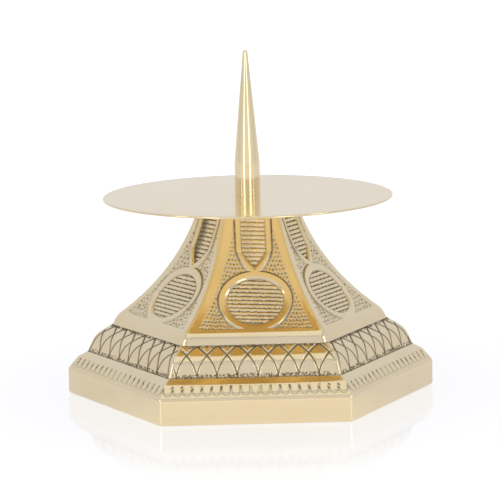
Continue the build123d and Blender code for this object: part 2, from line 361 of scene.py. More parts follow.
def lancet_distance(x, z, climb, half, z_point, bow):
    """Distance outside the pointed frame's outline, less than 0 inside it."""
    share = min((z - z_point) / (LANCET_SPRING_Z - z_point), 1.0)
    swell = bow * 4 * share * (1 - share) if share > 0 else 0.0
    lean = (half + bow) / (LANCET_SPRING_Z - z_point) if share < 1 else 0.0
    return (np.abs(x) - half * share - swell) / hypot(1, lean * climb)


def frame_section(outer, inner, worn_edge):
    """Rounded section of a frame, 0 at its edges and 1 on top, by the distances outside its outlines."""
    spread = FRAME_LOW_SPREAD * worn_edge
    return eased(-spread, FRAME_OUTER_SLOPE, -outer) * eased(0, FRAME_INNER_SLOPE, inner)


def thin_line(distance, half):
    """1 on a line and fading to nothing a little more than this half width away."""
    return np.exp(-((distance / half) ** 2))


def flare_relief(row, x, half_width, chance):
    """Panel of a flared face: sunk punched ground, oval and pointed frames, ribs inside the frames."""
    z, climb = row["z"], row["out"]
    x = x - chance.shift
    oval = oval_distance(x, z, climb, OVAL_HALF, OVAL_Z, OVAL_TOP_Z)
    oval_inner = oval_distance(x, z, climb, OVAL_INNER_HALF, OVAL_INNER_Z, OVAL_INNER_TOP_Z)
    lancet = lancet_distance(x, z, climb, LANCET_HALF, LANCET_Z, LANCET_BOW)
    lancet_inner = lancet_distance(x, z, climb, LANCET_INNER_HALF, LANCET_INNER_Z, LANCET_INNER_BOW)
    to_head = (PANEL_TOP_Z - z) / climb
    to_foot = (z - PANEL_Z) / climb
    to_border = half_width - PANEL_BORDER - np.abs(x)
    at_ends = eased(-FOOT_OVERRUN, FOOT_SLOPE, to_foot) * eased(-FOOT_OVERRUN, FOOT_SLOPE, to_head)
    sunk = eased(-BORDER_OVERRUN, BORDER_SLOPE, to_border) * at_ends
    chased = eased(-BORDER_OVERRUN, BORDER_EDGE, to_border) * at_ends
    oval_worn = eased((OVAL_Z + OVAL_TOP_Z) / 2 - OVAL_WEAR_DROP, OVAL_Z, z)
    near_point = eased(LANCET_SPRING_Z, LANCET_INNER_Z, z) if z > LANCET_Z else 0.0
    frame = np.maximum(
        frame_section(oval, oval_inner, oval_worn), frame_section(lancet, lancet_inner, near_point)
    )
    worn_edge = np.where(lancet < oval, near_point, oval_worn)
    in_frames = np.maximum(-oval_inner, np.minimum(-lancet_inner, to_head))
    outside_frames = np.minimum(oval, lancet)
    ribbed = eased(0, RIB_END, in_frames)
    on_ground = eased(0, FOOT_SLOPE, outside_frames)
    below_head = eased(CUT_TOP_Z, CUT_TOP_Z - CUT_TOP_FADE, z)
    from_outline = outside_frames + OUTLINE_INSET - OUTLINE_WORN_SHIFT * worn_edge
    outline = thin_line(from_outline, OUTLINE_HALF) * at_ends * below_head
    outline = outline * (1 - OUTLINE_WORN_FADE * worn_edge)

    level = row["along"] / RIB_PITCH + chance.tilt * x / RIB_PITCH
    groove = np.round(level).astype(int)
    first, second = chance.wander[groove % len(chance.wander)].T
    long_wave, short_wave = RIB_WAVES
    wavy = level + RIB_WANDER * (np.sin(long_wave * x + first) + np.sin(short_wave * x + second))
    from_groove = np.abs(wavy - groove) * RIB_PITCH
    patch = np.floor(x / RAGGED_LENGTH).astype(int)
    ragged = chance.ragged[groove % len(chance.ragged), patch % chance.ragged.shape[1]]
    kept_dirt = chance.lancet_dirt + POINT_DIRT * near_point if z > LANCET_Z else 1.0
    rib = RIB_CREST_DEPTH + (RIB_GROOVE_DEPTH - RIB_CREST_DEPTH) * thin_line(from_groove, RIB_GROOVE_HALF)
    rib = rib + LANCET_POCKET * near_point - RIB_LEAN * (wavy % 1 - 0.5)

    shifted = x / chance.punch_spacing + chance.punch_shift[groove % len(chance.punch_shift)]
    mark = groove % len(chance.punches), np.floor(shifted).astype(int) % chance.punches.shape[1]
    uneven = chance.punches[mark]
    from_middle = np.abs(shifted % 1 - 0.5) * chance.punch_spacing
    from_row = (wavy - groove + chance.stray[mark]) * RIB_PITCH
    punched = thin_line(from_row, PUNCH_HALF_HEIGHT) * thin_line(from_middle, chance.punch_half)
    punched = punched * on_ground * chased

    rough = ROUGHNESS_OF_RECESS * chance.draw.standard_normal(len(x)) * (ribbed + on_ground)
    sill = np.where(in_frames > -FRAME_INNER_SLOPE, RIB_CREST_DEPTH, PANEL_DEPTH)
    depth = sill * (1 - frame) + (rib - RIB_CREST_DEPTH) * ribbed
    height = -sunk * (depth + rough) - PUNCH_DEPTH * uneven * punched - CUT_DEPTH * outline * (1 - sunk)
    rib_dirt = thin_line(from_groove, RIB_DIRT_HALF + RIB_DIRT_HALF_RAGGED * ragged) * ribbed
    pocket_dirt = eased(POCKET_DIRT_FROM, POCKET_DIRT_TO, -x) * ribbed * chance.pocket_dirt * (z > LANCET_Z)
    dark = np.maximum.reduce(
        [
            rib_dirt * (RIB_DIRT + RIB_DIRT_RAGGED * ragged) * kept_dirt,
            # painted shade and dirt in the crease at the frames' inner edges
            thin_line(in_frames - SILL_DIRT_AND_SHADE_INSET, SILL_DIRT_AND_SHADE_HALF) * SILL_DIRT_AND_SHADE * sunk,
            outline * (OUTLINE_DIRT + OUTLINE_DIRT_RAGGED * ragged) * chance.outline,
            punched * (PUNCH_DIRT + PUNCH_DIRT_RAGGED * uneven),
            pocket_dirt * (1 - POCKET_DIRT_AT_POINT + POCKET_DIRT_AT_POINT * near_point),
            GROUND_DIRT * on_ground * chased,
        ]
    )
    return height, np.clip(dark * chance.draw.uniform(DIRT_LEAST, DIRT_MOST, len(x)), 0, 1)


def frieze_relief(row, x, half_width, chance):
    """Ovolo's frieze: grooves that rise from evenly spaced feet and cross as pointed arches."""
    along, length = row["along"], row["length"]
    share = along / length
    lean = ARCH_PITCH * ARCH_LEAN * max(share, 1e-3) ** (ARCH_LEAN - 1) / length
    reach = ARCH_PITCH * share**ARCH_LEAN
    feet = np.arange(-ARCH_FEET, ARCH_FEET + 1) * ARCH_PITCH + chance.arch_feet
    legs = np.concatenate([feet - reach, feet + reach])
    apart = np.min(np.abs(x[:, None] - legs[None, :]), axis=1) / hypot(1, lean)
    groove_half = chance.stroke * (GROOVE_HALF + (GROOVE_HALF_AT_TOP - GROOVE_HALF) * share**3)
    groove = np.cos(np.clip(apart / groove_half, 0, 1) * pi / 2) ** 2
    at_corner = eased(FRIEZE_END, FRIEZE_END_FADE, half_width - np.abs(x))
    line_dark = thin_line(apart, chance.line_half + LINE_SPREAD_AT_TOP * share**3)
    pits = np.zeros_like(x)
    for pit_x, pit_s, radius in chance.pits:
        place = pit_s if pit_s > 0 else length + pit_s
        if abs(place - along) < radius:
            from_pit = np.hypot(x - pit_x * half_width, place - along) / radius
            pits = np.maximum(pits, np.clip(1 - from_pit**2, 0, 1))
    patch = np.floor(x / RAGGED_LENGTH).astype(int)
    ragged = chance.ragged[:2, patch % chance.ragged.shape[1]]
    foot_seam = thin_line(along, FOOT_SEAM_HALF + FOOT_SEAM_RAGGED * ragged[0])
    top_seam = thin_line(length - along, TOP_SEAM_HALF + TOP_SEAM_RAGGED * ragged[1])
    seam_dark = SEAM_DIRT * (foot_seam + top_seam)
    dark = np.maximum.reduce([line_dark * at_corner, np.sqrt(pits) * at_corner, seam_dark])
    return -(chance.stroke * GROOVE_DEPTH * groove + PIT_DEPTH * pits) * at_corner, np.clip(dark, 0, 1)


def reed_relief(row, x, half_width, chance):
    """Reeded slope: half-round tongues with round lower ends, side by side under the ledge."""
    nearest = np.clip(np.round(x / REED_PITCH), -(REEDS // 2), REEDS // 2)
    below_round = min(0.0, row["along"] - row["reed_foot"] - REED_HALF)
    from_spine = np.hypot(x - nearest * REED_PITCH, below_round) / REED_HALF
    to_ledge = row["length"] - row["along"]
    under_ledge = eased(0.0, REED_HEAD_FADE, to_ledge)
    height = REED_HEIGHT * np.clip(1 - from_spine**2, 0, 1) * under_ledge
    at_end = -below_round / REED_HALF
    # dark ring round each reed: dirt in the gap and painted shade, fainter at the round lower end
    gap = thin_line(from_spine - REED_GAP_AT, REED_GAP_HALF) * (REED_DIRT_AND_SHADE - REED_DIRT_AND_SHADE_LOST_AT_END * at_end)
    above_foot = eased(0.0, REED_DIRT_AND_SHADE_FOOT_FADE, row["along"] - row["reed_foot"] + REED_DIRT_AND_SHADE_FOOT)
    return height, gap * above_foot * eased(0.0, REED_DIRT_AND_SHADE_HEAD_FADE, to_ledge)


def plain_relief(row, x, half_width, chance):
    """No relief."""
    return np.zeros_like(x), np.zeros_like(x)


RELIEFS = {"flare": flare_relief, "frieze": frieze_relief, "reeds": reed_relief}


class Chance:
    """The uneven handwork of one face, the same every time."""

    def __init__(self, face):
        draw = self.draw = np.random.default_rng(FIRST_SEED + face)
        front = face == FRONT_FACE
        marks = (HAND_ROWS, HAND_MARKS)
        self.punches = draw.uniform(FAINTEST_PUNCH if front else SIDE_FAINTEST_PUNCH, 1.0, marks)
        stray = PUNCH_STRAY if front else SIDE_PUNCH_STRAY
        self.stray = draw.uniform(-stray, stray, marks)
        slip_share = ROW_SLIP_SHARE if front else SIDE_ROW_SLIP_SHARE
        slip = draw.uniform(-ROW_SLIP, ROW_SLIP, HAND_ROWS) * slip_share
        self.punch_shift = 0.5 * (np.arange(HAND_ROWS) % 2) + slip
        self.punch_spacing = PUNCH_SPACING if front else SIDE_PUNCH_SPACING
        self.punch_half = PUNCH_HALF if front else SIDE_PUNCH_HALF
        if face == LEFT_FRONT_FACE:
            self.pocket_dirt = LEFT_POCKET_DIRT
        else:
            self.pocket_dirt = draw.uniform(0.0, SIDE_POCKET_DIRT)
        self.wander = draw.uniform(0, 2 * pi, (HAND_ROWS, 2))
        self.ragged = draw.uniform(0, 1, marks)
        self.tilt = draw.uniform(-SIDE_RIB_TILT, SIDE_RIB_TILT)
        self.shift = draw.uniform(-SIDE_PANEL_SHIFT, SIDE_PANEL_SHIFT)
        self.lancet_dirt = draw.uniform(*SIDE_LANCET_DIRT)
        self.stroke, self.line_half, self.outline = SIDE_STROKE, SIDE_LINE_HALF, SIDE_OUTLINE
        self.arch_feet = draw.normal(draw.uniform(-1, 1), ARCH_UNEVEN, 2 * ARCH_FEET + 1)
        if front:
            self.tilt, self.shift, self.lancet_dirt = FRONT_RIB_TILT, FRONT_PANEL_SHIFT, FRONT_LANCET_DIRT
            self.stroke, self.line_half, self.outline = 1.0, LINE_HALF, 1.0
            self.arch_feet += FRONT_ARCH_SHIFT - self.arch_feet.mean()
        self.pits = []
        for sign in (1, -1):
            for _ in range(PITS_PER_LINE):
                place = sign * draw.uniform(PITS_FROM, FOOT_PITS_TO if sign > 0 else TOP_PITS_TO)
                across_face = draw.uniform(-PITS_ACROSS, PITS_ACROSS)
                self.pits.append((across_face, place, draw.uniform(PIT_RADIUS_LEAST, PIT_RADIUS_MOST)))


def outside_rows():
    """Rows of the casting's outside, from the inner edge of the rim up to the crown's bore."""
    mouldings = rounded(
        [
            (PLINTH_A - WALL, 0.0, 0.0),
            (PLINTH_A, 0.0, FOOT_EDGE_RADIUS),
            (PLINTH_A, PLINTH_Z, MOULDING_EDGE_RADIUS),
            (LEDGE_A, LEDGE_Z, MOULDING_EDGE_RADIUS),
            (OVOLO_A, OVOLO_Z, INNER_CORNER_RADIUS),
            (SHOULDER_A, SHOULDER_Z, OVOLO_SHOULDER_RADIUS),
            (BAND_A, BAND_Z, INNER_CORNER_RADIUS),
            (BAND_BULGE_A, BAND_BULGE_Z, BAND_BULGE_RADIUS),
            (FLARE_A, FLARE_Z, BAND_EDGE_RADIUS),
            on_flare(FLARE_Z + FLARE_JOIN_RISE) + (0.0,),
        ]
    )
    flare = [on_flare(z) for z in np.linspace(FLARE_Z + FLARE_JOIN_RISE, CROWN_Z, FLARE_POINTS)[1:]]
    line = SectionLine(mouldings + flare)

    plinth_edge = line.at_height(PLINTH_EDGE_Z)
    reed_start, reed_end = line.at_height(REED_ZONE_Z), line.at_height(LEDGE_Z - REED_ZONE_HEAD_GAP)
    frieze_start, frieze_end = line.at_height(OVOLO_Z), line.at_height(BAND_Z)
    plan = (
        (0.0, plinth_edge, PLINTH_STEP, PLAIN_COLUMNS, "plain"),
        (plinth_edge, reed_start, PLINTH_EDGE_STEP, REED_COLUMNS, "plain"),
        (reed_start, reed_end, RELIEF_STEP, REED_COLUMNS, "reeds"),
        (reed_end, frieze_start, LEDGE_STEP, REED_COLUMNS, "plain"),
        (frieze_start, frieze_end, RELIEF_STEP, FRIEZE_COLUMNS, "frieze"),
        (frieze_end, line.at_height(FLARE_Z), BAND_STEP, REED_COLUMNS, "plain"),
    )
    rows = []
    for start, end, step, columns, zone in plan:
        for s in line.stations(start, end, step)[:-1]:
            row = line.row(s, columns, zone)
            row["along"], row["length"] = s - start, end - start
            row["reed_foot"] = line.at_height(REED_FOOT_Z) - start
            rows.append(row)
    flare_start, flare_end = line.at_height(FLARE_Z), line.at_height(CROWN_Z - CROWN_GAP)
    flare_rows = ceil((flare_end - flare_start) / RIB_PITCH * ROWS_PER_RIB)
    for s in np.linspace(flare_start, flare_end, flare_rows):
        row = line.row(s, 0, "flare")
        row["columns"] = next(count for top, count in FLARE_COLUMNS if row["z"] < top)
        row["along"] = s - line.at_height(PANEL_Z)
        rows.append(row)
    return rows


def inside_rows(reached):
    """Rows from the crown's bore down through the hollow, back to the inner edge of the rim."""
    def row(a, z, out, up, round_hole=False):
        corner = 0.0 if round_hole else HOLLOW_CORNER_RADIUS
        return {
            "a": a,
            "z": z,
            "out": out,
            "up": up,
            "columns": PLAIN_COLUMNS,
            "corner": corner,
            "zone": "plain",
            "round": round_hole,
        }

    head_angle = asin((FLARE_CENTRE_Z - CEILING_Z) / (FLARE_RADIUS + WALL))
    foot_angle = asin((FLARE_CENTRE_Z - FLARE_Z) / FLARE_RADIUS)
    rows = [
        row(CROWN_A - CROWN_EDGE_RADIUS, CROWN_Z, 0, 1),
        row(BORE_RADIUS, CROWN_Z, 0, 1, True),
        row(BORE_RADIUS, CEILING_Z, -1, 0, True),
    ]
    radius = FLARE_RADIUS + WALL
    for angle in np.linspace(head_angle, foot_angle, HOLLOW_ROWS):
        a, z = FLARE_CENTRE_A - radius * cos(angle), FLARE_CENTRE_Z - radius * sin(angle)
        rows.append(row(a, z, -cos(angle), -sin(angle)))
    rows.append(row(PLINTH_A - WALL, PLINTH_Z - WALL / 2, -1, 0))
    s = reached
    for before, this in zip([None] + rows, rows):
        s += hypot(this["a"] - before["a"], this["z"] - before["z"]) if before else CROWN_EDGE_RADIUS
        this["s"] = s
    return rows


def across(row):
    """One row's columns, left mitre to right mitre: place across the face and distance from the axis."""
    a, columns, corner = row["a"], row["columns"], row["corner"]
    if row["round"]:
        angles = np.linspace(-HALF_FACE, HALF_FACE, columns + 2 * CORNER_STEPS + 1)
        return a * np.sin(angles), a * np.cos(angles)
    flat = (a - corner) * tan(HALF_FACE)
    turns = np.linspace(HALF_FACE, 0, CORNER_STEPS + 1)[:-1]
    edge_x, edge_n = flat + corner * np.sin(turns), a - corner + corner * np.cos(turns)
    x = np.concatenate([-edge_x, np.linspace(-flat, flat, columns + 1), edge_x[::-1]])
    return x, np.concatenate([edge_n, np.full(columns + 1, a), edge_n[::-1]])


def laced(lower, upper):
    """Triangles between two rows, by their columns' relative places: (row, column) for each corner."""
    made, i, j = [], 0, 0
    while i < len(lower) - 1 or j < len(upper) - 1:
        step_lower = j == len(upper) - 1 or (i < len(lower) - 1 and lower[i + 1] <= upper[j + 1] + 1e-9)
        if step_lower:
            made.append(((0, i), (0, i + 1), (1, j)))
            i += 1
        else:
            made.append(((0, i), (1, j + 1), (1, j)))
            j += 1
    return np.array(made)


def casting_mesh():
    """Closed mesh of the casting: six equal faces that share their mitres, each with its own handwork."""
    outside = outside_rows()
    rows = outside + inside_rows(outside[-1]["s"])
    chances = [Chance(face) for face in range(FACES)]
    starts, points, patina, places = [], [], [], []
    filled_so_far = 0
    for row in rows:
        x, n = across(row)
        places.append(x)
        starts.append(filled_so_far)
        filled_so_far += FACES * (len(x) - 1)
        relief = RELIEFS.get(row["zone"], plain_relief)
        for face, chance in enumerate(chances):
            height, dark = relief(row, x, row["a"] * tan(HALF_FACE), chance)
            out, z = n + height * row["out"], row["z"] + height * row["up"]
            turn = face * 2 * HALF_FACE + TWIST * eased(TWIST_Z, TWIST_TOP_Z, row["z"])
            spot = np.stack([x * cos(turn) + out * sin(turn), x * sin(turn) - out * cos(turn), z], 1)
            points.append(spot[:-1])
            patina.append(dark[:-1])

    total_s = rows[-1]["s"] + rows[-1]["z"]
    triangles, unwrapped = [], []
    for lower in range(len(rows)):
        upper = (lower + 1) % len(rows)
        pair = (lower, upper)
        lace = laced(*[places[r] / places[r].max() for r in pair])
        which, column = lace[:, :, 0], lace[:, :, 1]
        width = np.array([len(places[r]) - 1 for r in pair])[which]
        first = np.array([starts[r] for r in pair])[which]
        x = np.where(
            which == 0,
            places[lower][np.minimum(column, len(places[lower]) - 1)],
            places[upper][np.minimum(column, len(places[upper]) - 1)],
        )
        s = np.array([rows[lower]["s"], rows[upper]["s"] if upper else total_s])[which]
        for face in range(FACES):
            own_face = (face + (column == width)) % FACES
            triangles.append(first + own_face * width + column % width)
            map_row, map_column = divmod(face, MAP_FACES_ACROSS)
            across_map = (map_column + 0.5 + MAP_FILL_ACROSS * x / MAP_WIDTH) / MAP_FACES_ACROSS
            along_map = (map_row + MAP_MARGIN + MAP_FILL_ALONG * s / total_s) / MAP_FACES_ALONG
            unwrapped.append(np.stack([across_map, along_map], 2))
    return [np.concatenate(part) for part in (points, triangles, unwrapped, patina)]


def piece_from(name, points, triangles, unwrapped=None):
    """A named piece of the object from points in millimetres and its triangles."""
    mesh = bpy.data.meshes.new(name)
    mesh.from_pydata((np.asarray(points) * MM).tolist(), [], np.asarray(triangles).tolist())
    mesh.polygons.foreach_set("use_smooth", np.ones(len(mesh.polygons), bool))
    if unwrapped is not None:
        layer = mesh.uv_layers.new(name="OFBake")
        layer.uv.foreach_set("vector", np.asarray(unwrapped, np.float32).ravel())
    mesh.update()
    piece = bpy.data.objects.new(name, mesh)
    bpy.context.scene.collection.objects.link(piece)
    return piece


def turned_mesh(outline, sides, closed=False):
    """A shape turned about the axis: its outline of (radius, height) ends on the axis or is closed."""
    angles = np.arange(sides) * 2 * pi / sides
    points, rings = [], []
    for radius, z in outline:
        if radius == 0:
            rings.append([len(points)])
            points.append((0, 0, z))
        else:
            rings.append(list(range(len(points), len(points) + sides)))
            points += [(radius * cos(t), radius * sin(t), z) for t in angles]
    triangles = []
    for lower, upper in zip(rings, rings[1:] + rings[:closed]):
        for i in range(sides):
            k = (i + 1) % sides
            if len(lower) == 1:
                triangles.append((lower[0], upper[k], upper[i]))
            elif len(upper) == 1:
                triangles.append((lower[i], lower[k], upper[0]))
            else:
                triangles += [(lower[i], lower[k], upper[k]), (lower[i], upper[k], upper[i])]
    return np.array(points), triangles


class Wire:
    """One socket in a shader; arithmetic on it adds Math nodes."""

    def __init__(self, tree, socket=None):
        self.tree, self.socket = tree, socket

    def add(self, kind, settings=None, inputs=None, output=0):
        """A new node of this kind, its settings first, then the values or links of its sockets."""
        node = self.tree.nodes.new(kind)
        for name, value in (settings or {}).items():
            if name == "stops":
                while len(node.color_ramp.elements) < len(value):
                    node.color_ramp.elements.new(1.0)
                for element, (position, colour) in zip(node.color_ramp.elements, value):
                    element.position, element.color = position, (*colour, 1.0)
            else:
                setattr(node, name, value)
        for key, value in (inputs or {}).items():
            if isinstance(value, Wire):
                self.tree.links.new(value.socket, node.inputs[key])
            else:
                node.inputs[key].default_value = value
        return Wire(self.tree, node.outputs[output])

    def maths(self, operation, first, second=0.0):
        """Result of a Math node on one or two values."""
        return self.add("ShaderNodeMath", {"operation": operation}, {0: first, 1: second})

    def __add__(self, other):
        return self.maths("ADD", self, other)

    def __radd__(self, other):
        return self.maths("ADD", other, self)

    def __sub__(self, other):
        return self.maths("SUBTRACT", self, other)

    def __rsub__(self, other):
        return self.maths("SUBTRACT", other, self)

    def __mul__(self, other):
        return self.maths("MULTIPLY", self, other)

    def __rmul__(self, other):
        return self.maths("MULTIPLY", other, self)

    def __truediv__(self, other):
        return self.maths("DIVIDE", self, other)

    def __pow__(self, other):
        return self.maths("POWER", self, other)

    def size(self):
        """This value without its sign."""
        return self.maths("ABSOLUTE", self)

    def clipped(self):
        """This value kept from 0 to 1."""
        return self.add("ShaderNodeClamp", {}, {"Value": self})

    def between(self, low, high):
        """A smooth rise from 0 at low to 1 at high."""
        return self.add(
            "ShaderNodeMapRange",
            {"interpolation_type": "SMOOTHSTEP"},
            {"Value": self, "From Min": low, "From Max": high},
        )

    def tint(self, first, second):
        """Colour mixed from first to second by this value."""
        return self.add("ShaderNodeMix", {"data_type": "RGBA"}, {0: self, 6: first, 7: second}, 2)


def opaque(colour):
    """The colour with full cover."""
    return (*colour, 1.0)


def speckle(place, size, detail=2.0, along=None):
    """Even noise from 0 to 1, its marks about this many millimetres across, or bands along one measure."""
    settings = {"noise_dimensions": "3D" if along is None else "1D"}
    inputs = {"Scale": 1 / (size * MM), "Detail": detail}
    if along is None:
        inputs["Vector"] = place
    else:
        inputs["W"] = along
    return place.add("ShaderNodeTexNoise", settings, inputs)


def finish(name):
    """A new material: the start of its shader, where a point lies on the object, and its metal."""
    material = bpy.data.materials.new(name)
    material.use_nodes = True
    tree = material.node_tree
    metal = tree.nodes["Principled BSDF"]
    start = Wire(tree)
    place = start.add("ShaderNodeTexCoord", output="Object")
    return material, start, place, metal


def set_metal(start, metal, **sockets):
    """Values and links of the metal's sockets, by their names with _ for a space."""
    for name, value in sockets.items():
        socket = metal.inputs[name.replace("_", " ")]
        if isinstance(value, Wire):
            start.tree.links.new(value.socket, socket)
        else:
            socket.default_value = value


def bumped(height, depth):
    """Surface detail of this real depth in millimetres."""
    return height.add("ShaderNodeBump", {}, {"Strength": 1.0, "Distance": depth * MM, "Height": height})


BRASS = (0.90, 0.745, 0.44)
BRASS_WARM = (0.889, 0.724, 0.413)
# Patina in the hollows; the same colour paints the shade at the frames' inner edges and round the reeds
PATINA_AND_SHADE = (0.085, 0.06, 0.032)
ZINC = (0.66, 0.67, 0.69)
ZINC_DULL = (0.52, 0.53, 0.53)


def cast_brass():
    """Polished casting: bright on what a cloth reaches, dark and dull in the recesses and in painted shade
    by frames and reeds.
    """
    material, start, place, metal = finish("cast_brass")
    recess = start.add("ShaderNodeAttribute", {"attribute_name": "patina"}, output="Fac")
    cloudy = speckle(place, size=14, detail=3.0)
    grain = speckle(place, size=0.5)
    dark = (recess * (0.5 + 0.5 * grain + 0.5 * cloudy)).clipped()
    handled = cloudy.between(0.42, 0.68)
    colour = handled.tint(opaque(BRASS), opaque(BRASS_WARM))
    set_metal(
        start, metal,
        Base_Color=dark.tint(colour, opaque(PATINA_AND_SHADE)),
        Metallic=1 - 0.6 * dark,
        Roughness=0.1 + 0.05 * cloudy + 0.47 * dark,
        Specular_IOR_Level=0.2,
        Normal=bumped(speckle(place, size=6) + 0.12 * grain, 0.05),
    )
    return material


def sheet_brass():
    """Rolled sheet polished on a wheel: faint rings and a soft cloudiness."""
    material, start, place, metal = finish("sheet_brass")
    x = start.add("ShaderNodeSeparateXYZ", inputs={0: place}, output=0)
    y = start.add("ShaderNodeSeparateXYZ", inputs={0: place}, output=1)
    radius = (x * x + y * y) ** 0.5
    rings = speckle(place, size=0.35, detail=3.0, along=radius)
    cloudy = speckle(place, size=22, detail=3.0)
    set_metal(
        start, metal,
        Base_Color=cloudy.between(0.4, 0.7).tint(opaque(BRASS), opaque(BRASS_WARM)),
        Metallic=1.0,
        Roughness=0.12 + 0.05 * cloudy + 0.04 * rings,
        Normal=bumped(rings, 0.0015),
    )
    return material


def turned_brass():
    """Lathe-turned and polished: fine rings round the axis."""
    material, start, place, metal = finish("turned_brass")
    z = start.add("ShaderNodeSeparateXYZ", inputs={0: place}, output=2)
    rings = speckle(place, size=0.25, detail=3.0, along=z)
    cloudy = speckle(place, size=8, detail=3.0)
    set_metal(
        start, metal,
        Base_Color=cloudy.between(0.4, 0.7).tint(opaque(BRASS), opaque(BRASS_WARM)),
        Metallic=1.0,
        Roughness=0.04 + 0.02 * cloudy + 0.02 * rings,
        Normal=bumped(rings, 0.0015),
    )
    return material


def zinc_steel():
    """Zinc-plated steel, dull and slightly blotched."""
    material, start, place, metal = finish("zinc_steel")
    blotch = speckle(place, size=2.5, detail=4.0)
    scratch = speckle(place, size=0.2)
    set_metal(
        start, metal,
        Base_Color=blotch.between(0.35, 0.7).tint(opaque(ZINC), opaque(ZINC_DULL)),
        Metallic=1.0,
        Roughness=0.28 + 0.18 * blotch,
        Normal=bumped(scratch, 0.006),
    )
    return material


FINISHES = {make.__name__: make() for make in (cast_brass, sheet_brass, turned_brass, zinc_steel)}


def settle(piece, node, slot):
    """Gives a piece its finish and puts it in place of its CAD node."""
    piece.data.materials.append(FINISHES[slot])
    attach(piece, "root")
    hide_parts(node)


# Base casting
points, triangles, unwrapped, patina = casting_mesh()
casting = piece_from("base_casting_relief", points, triangles, unwrapped)
# The patina mask also holds painted shade at the frames' inner edges and round the reeds
casting.data.attributes.new("patina", "FLOAT", "POINT").data.foreach_set("value", patina.astype(np.float32))
settle(casting, "base_casting", "cast_brass")


def pan_piece():
    """Flat sheet pan with a softly rounded rim, seated flat on the crown."""
    rim = []
    for turn in np.linspace(-pi / 2, pi / 2, PAN_RIM_POINTS):
        middle = CROWN_Z + PAN_THICKNESS / 2
        lift = (PAN_THICKNESS / 2 - PAN_RIM_ROUND) * (1 if turn > 0 else -1)
        rim.append((PAN_RADIUS - PAN_RIM_ROUND * (1 - cos(turn)), middle + lift + PAN_RIM_ROUND * sin(turn)))
    under = [(radius, CROWN_Z) for radius in PAN_RINGS]
    top = [(radius, PAN_TOP_Z) for radius in reversed(PAN_RINGS)]
    return piece_from("drip_pan_sheet", *turned_mesh(under + rim + top, PAN_SIDES, closed=True))


def spike_piece():
    """Turned spike: straight foot, soft shoulder, long taper and a rounded blunt tip."""
    shoulder_z = PAN_TOP_Z + SPIKE_FOOT_LENGTH
    outline = [
        (0, SPIKE_HOLE_POINT_Z),
        (SPIKE_HOLE_RADIUS, SPIKE_HOLE_Z),
        (SPIKE_HOLE_RADIUS, PAN_TOP_Z),
        (SPIKE_RADIUS - SPIKE_FOOT_RELIEF, PAN_TOP_Z),
        (SPIKE_RADIUS - SPIKE_FOOT_RELIEF, PAN_TOP_Z + SPIKE_FOOT_RELIEF_RISE),
        (SPIKE_RADIUS, PAN_TOP_Z + SPIKE_FOOT_RELIEF_RISE),
        (SPIKE_RADIUS, PAN_TOP_Z + SPIKE_FOOT_EDGE_RISE),
    ]
    for rise, drop in SPIKE_SHOULDER_DROPS:
        outline.append((SPIKE_RADIUS - drop, shoulder_z + rise))
    tip_z = SPIKE_TIP_Z - SPIKE_TIP_HEIGHT
    taper = (SPIKE_RADIUS - SPIKE_TIP_RADIUS) / (tip_z - shoulder_z)
    for z in np.linspace(shoulder_z + SPIKE_TAPER_RISE, tip_z, SPIKE_TAPER_POINTS):
        outline.append((SPIKE_RADIUS - taper * (z - shoulder_z), z))
    for turn in np.linspace(0, pi / 2, SPIKE_TIP_POINTS)[1:-1]:
        radius = SPIKE_TIP_RADIUS * cos(turn) ** SPIKE_TIP_FULLNESS
        outline.append((radius, tip_z + SPIKE_TIP_HEIGHT * sin(turn)))
    outline.append((0, SPIKE_TIP_Z))
    return piece_from("pricket_spike_turned", *turned_mesh(outline, SPIKE_SIDES))


def stud_piece():
    """Stud with a cut thread and chamfered ends."""
    sides = STUD_SIDES
    rows = int((STUD_TOP_Z - STUD_Z) / THREAD_PITCH * ROWS_PER_THREAD)
    angles = np.arange(sides) * 2 * pi / sides
    points = []
    for row in range(rows + 1):
        z = STUD_Z + (STUD_TOP_Z - STUD_Z) * row / rows
        phase = (z / THREAD_PITCH - angles / (2 * pi)) % 1
        depth = THREAD_DEPTH * np.clip(THREAD_FULLNESS - np.abs(2 * phase - 1) * THREAD_STEEPNESS, 0, 1)
        end = min(z - STUD_Z, STUD_TOP_Z - z)
        radius = np.minimum(STUD_RADIUS - depth, STUD_RADIUS - STUD_CHAMFER + end)
        points.append(np.stack([radius * np.cos(angles), radius * np.sin(angles), np.full(sides, z)], 1))
    points = np.concatenate(points + [[(0, 0, STUD_Z), (0, 0, STUD_TOP_Z)]])
    foot, head, top = (rows + 1) * sides, (rows + 1) * sides + 1, rows * sides
    triangles = []
    for i in range(sides):
        k = (i + 1) % sides
        triangles += [(foot, k, i), (head, top + i, top + k)]
        for lower in range(0, top, sides):
            upper = lower + sides
            triangles += [(lower + i, lower + k, upper + k), (lower + i, upper + k, upper + i)]
    return piece_from("tie_stud_threaded", points, triangles)


settle(pan_piece(), "drip_pan", "sheet_brass")
settle(spike_piece(), "pricket_spike", "turned_brass")
settle(stud_piece(), "tie_stud", "zinc_steel")

# Nut and washers keep their CAD shape
for node in ("flat_washer", "spring_washer", "hex_nut"):
    mesh = frame["nodes"][node].data
    mesh.materials.clear()
    mesh.materials.append(FINISHES["zinc_steel"])

# Sharp edges stay sharp under smooth shading
SHARP_TURN = radians(50)
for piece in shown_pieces():
    if piece.name != casting.name:
        piece.data.set_sharp_from_angle(angle=SHARP_TURN)

